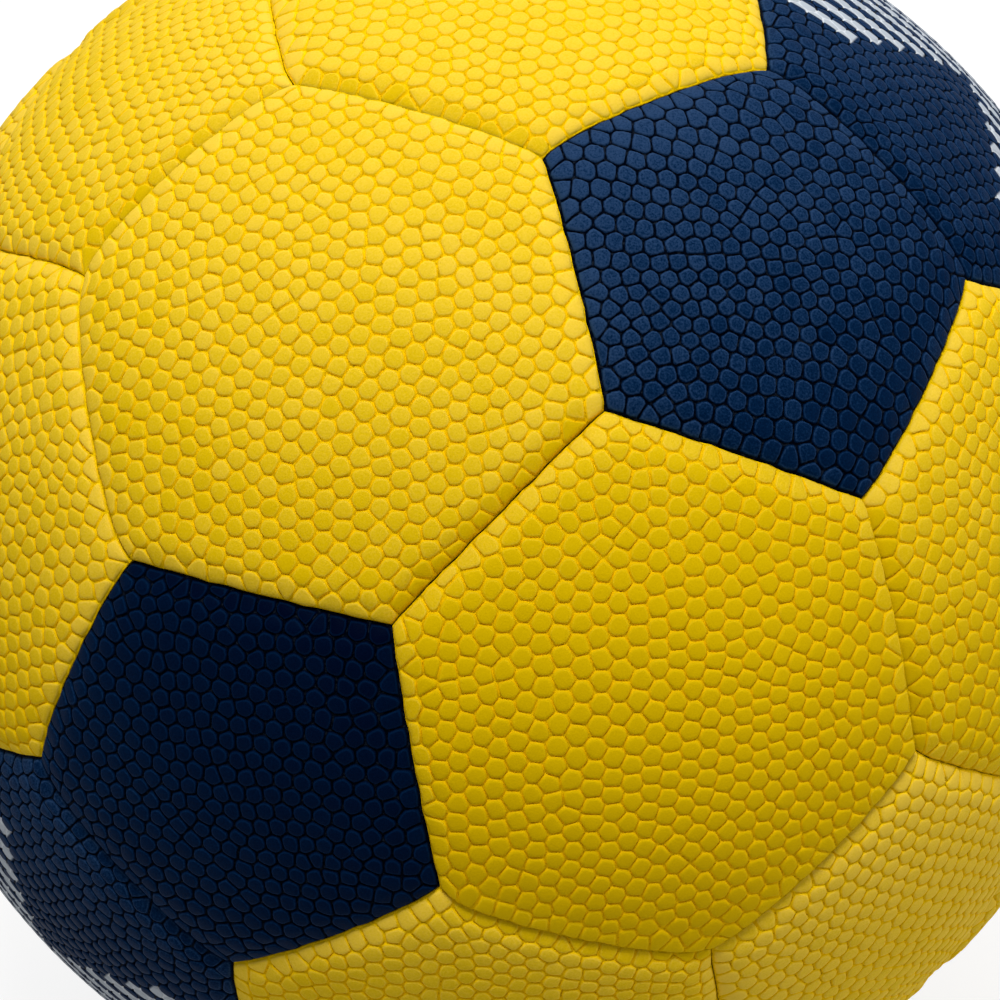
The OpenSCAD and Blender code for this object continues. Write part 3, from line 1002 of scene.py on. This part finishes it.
def rubber(name, dark, light, mould_scale, roughness=0.6):
    """Moulded rubber: faint flow marks, dust and a soft sheen"""
    f = Finish(name, roughness=roughness, specular=0.35)
    place = f.place()
    flow = f.noise(place, mould_scale, 4, 0.6)
    speck = f.noise(place, 2600, 2)
    colour = f.blend(f.limits(flow * 0.8 + speck * 0.2, 0.3, 0.7), dark, light)
    sheen = roughness + 0.2 * (flow - 0.5)
    f.surface(base_color=colour, roughness=sheen, normal=f.bump(speck, 0.00004, 0.6))
    return f.material


# The ball

yellow = dict(
    dark=(0.67, 0.425, 0.0), pale=(0.91, 0.62, 0.001), painted_sheen=(0.91, 0.61, 0.066),
    walls=((0.80, 0.48, 0.0), (0.97, 0.64, 0.0)), rim=(0.45, 0.95), painted_rim_highlight=0.14, speckle=1.0,
    floor=(0.40, 0.21, 0.0), floor_share=0.9, sheen=0.02, tint=(1, 1, 0.8))
# The navy's near-black walls are painted shade in the grooves
navy = dict(
    dark=(0.0, 0.0008, 0.009), pale=(0.001, 0.026, 0.090), painted_sheen=(0.024, 0.054, 0.124),
    walls=((0.0, 0.0004, 0.002), (0.0, 0.0012, 0.006)), rim=(0.27, 0.68), painted_rim_highlight=0.20, speckle=1.7,
    floor=(0.022, 0.030, 0.045), floor_share=0.7, sheen=0.02, tint=(0.30, 0.60, 1.0))
leathers = {
    "yellow_leather": grained_leather("yellow_leather", **yellow),
    "navy_leather": grained_leather("navy_leather", **navy),
    "striped_navy_leather": grained_leather("striped_navy_leather", **navy, stripes=print_stripes),
}
first_seed = 40


def mark_print(piece, printed):
    """Marks each vertex of a navy hexagon with its place in the print"""
    co = np.empty(len(piece.data.vertices) * 3, np.float32)
    piece.data.vertices.foreach_get("co", co)
    way = co.reshape(-1, 3).astype(float)
    way /= np.linalg.norm(way, axis=1)[:, None]
    along, across = printed.measured(way)
    marks = np.c_[along, across, np.zeros(len(across))]
    layer = piece.data.attributes.new("print_mm", "FLOAT_VECTOR", "POINT")
    layer.data.foreach_set("vector", marks.astype(np.float32).ravel())


def sew_panels():
    """All 32 panels of leather, each in the place of its node"""
    nodes = {}
    hexes = sorted(hexagons(), key=lambda h: -unit(sum(pent_axes[i] for i in h)) @ valve_axis)
    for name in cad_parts:
        if name.startswith("hex_panel_") or name.startswith("pent_panel_"):
            low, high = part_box(name)
            nodes[name] = unit((np.array(low) + np.array(high)) / 2)
    panels = [(h, "hex_panel", hexagon_corners(h), sum(pent_axes[i] for i in h)) for h in hexes]
    panels += [((i,), "pent_panel", pentagon_corners(i), pent_axes[i]) for i in range(12)]
    for number, (ids, kind, keys, axis) in enumerate(panels):
        middle = unit(sum(corner(*key) for key in keys))
        node = max((n for n in nodes if n.startswith(kind)), key=lambda n: nodes[n] @ middle)
        del nodes[node]
        valve = kind == "hex_panel" and middle[2] > 0.99
        navy = is_navy(unit(axis))
        grain = grains["navy" if navy else "yellow"]
        shade, lean = painted_panel_shades.get(ids, usual_shade), painted_light_leans.get(ids, usual_painted_lean)
        hole_r = boss_hole_r if valve else 0.0
        printed = None
        if kind == "hex_panel" and navy:
            twins = sorted(ids, key=lambda i: abs(pent_axes[i][0]))[1:]
            printed = Print(corner(*twins), corner(*twins[::-1]))
        seed = first_seed + number
        piece = leather_panel("leather_" + node, keys, grain, shade, lean, seed, hole_r, printed)
        if printed:
            mark_print(piece, printed)
        slot = "navy_leather" if navy else "yellow_leather"
        if printed:
            slot = "striped_navy_leather"
        piece.data.materials.append(leathers[slot])
        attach(piece, "root")
        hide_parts(node)


def finish_inner_nodes():
    """Materials of what lies under the leather, as the CAD made it"""
    black = (0.010, 0.010, 0.012), (0.026, 0.026, 0.030)
    finishes = {
        "foam_backing": soft_foam("backing_foam"),
        "cloth_ply": woven_cloth("lining_cloth"),
        "seam_thread": waxed_thread("waxed_thread"),
        "bladder": rubber("bladder_latex", (0.50, 0.30, 0.13), (0.68, 0.44, 0.22), 70, 0.5),
        "valve_patch": rubber("patch_rubber", (0.40, 0.24, 0.11), (0.56, 0.36, 0.18), 140),
        "valve_housing": rubber("valve_rubber", *black, 220),
        "valve_insert": rubber("insert_rubber", (0.016, 0.016, 0.018), (0.038, 0.038, 0.042), 300, 0.5),
    }
    for name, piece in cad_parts.items():
        for part, material in finishes.items():
            if part in name:
                for held in piece.material_slots:
                    held.material = material


sew_panels()
finish_inner_nodes()


# Floor, light and camera

def pale_floor():
    half = 6.0
    mesh = bpy.data.meshes.new("floor")
    corners = [(x * half, y * half, -ball_r / 1000) for x, y in ((-1, -1), (1, -1), (1, 1), (-1, 1))]
    mesh.from_pydata(corners, [], [(0, 1, 2, 3)])
    floor = bpy.data.objects.new("floor", mesh)
    bpy.context.scene.collection.objects.link(floor)
    f = Finish("pale_floor", roughness=0.9, specular=0.1)
    f.shader.inputs["Base Color"].default_value = (0.50, 0.50, 0.50, 1)
    matt = Signal(f, f.shader.outputs[0])
    shadow = f.node("ShaderNodeBsdfDiffuse", {}, {"Color": (0.20, 0.20, 0.20)})
    glow = f.node("ShaderNodeEmission", {}, {"Color": (1, 1, 1), "Strength": 0.86})
    both = f.node("ShaderNodeAddShader", {}, {0: shadow, 1: glow})
    mixed = f.node("ShaderNodeMixShader", {}, {0: f.seen_straight(), 1: matt, 2: both})
    f.feed(f.tree.nodes["Material Output"].inputs["Surface"], mixed)
    mesh.materials.append(f.material)


def room_light():
    """A pale room that the camera sees as plain white"""
    world = bpy.data.worlds.new("pale_room")
    bpy.context.scene.world = world
    world.use_nodes = True
    world.node_tree.nodes.clear()
    w = Workings(world.node_tree)
    room = w.node("ShaderNodeBackground", {}, {"Color": (0.96, 0.98, 1.0), "Strength": 0.30})
    white = w.node("ShaderNodeBackground", {}, {"Color": (1, 1, 1), "Strength": 1.0})
    mixed = w.node("ShaderNodeMixShader", {}, {0: w.seen_straight(), 1: room, 2: white})
    w.feed(w.tree.nodes.new("ShaderNodeOutputWorld").inputs["Surface"], mixed)


def soft_lamp(name, place, size, power):
    """Round white lamp that points at the ball"""
    data = bpy.data.lights.new(name, "AREA")
    data.shape = "DISK"
    data.size = size
    data.energy = power
    lamp = bpy.data.objects.new(name, data)
    bpy.context.scene.collection.objects.link(lamp)
    lamp.location = place
    lamp.rotation_euler = (-Vector(place)).to_track_quat("-Z", "Y").to_euler()


def photo_camera():
    """Camera where the photograph was taken from, by its turn and height round the ball"""
    distance = 0.60183
    turn, height, roll = math.radians(1.076), math.radians(36.488), math.radians(1.174)
    data = bpy.data.cameras.new("camera")
    data.sensor_width = 36
    data.lens = 144.58
    data.shift_x, data.shift_y = -0.0069, 0.0084
    data.clip_start, data.clip_end = 0.05, 30
    camera = bpy.data.objects.new("camera", data)
    bpy.context.scene.collection.objects.link(camera)
    level = math.cos(height)
    back = Vector((math.sin(turn) * level, -math.cos(turn) * level, math.sin(height)))
    upright = (-back).to_track_quat("-Z", "Y").to_matrix()
    rolled = upright @ Matrix.Rotation(roll, 3, "Z")
    camera.matrix_world = Matrix.Translation(back * distance) @ rolled.to_4x4()
    bpy.context.scene.camera = camera


pale_floor()
room_light()
soft_lamp("overhead_lamp", (-0.05, -0.28, 1.10), 0.45, 8.5)
soft_lamp("back_lamp", (-0.10, 0.68, 0.90), 0.6, 4.3)
soft_lamp("side_lamp", (1.20, -0.05, 0.15), 0.4, 2.6)
photo_camera()
bpy.context.scene.view_settings.view_transform = "Standard"
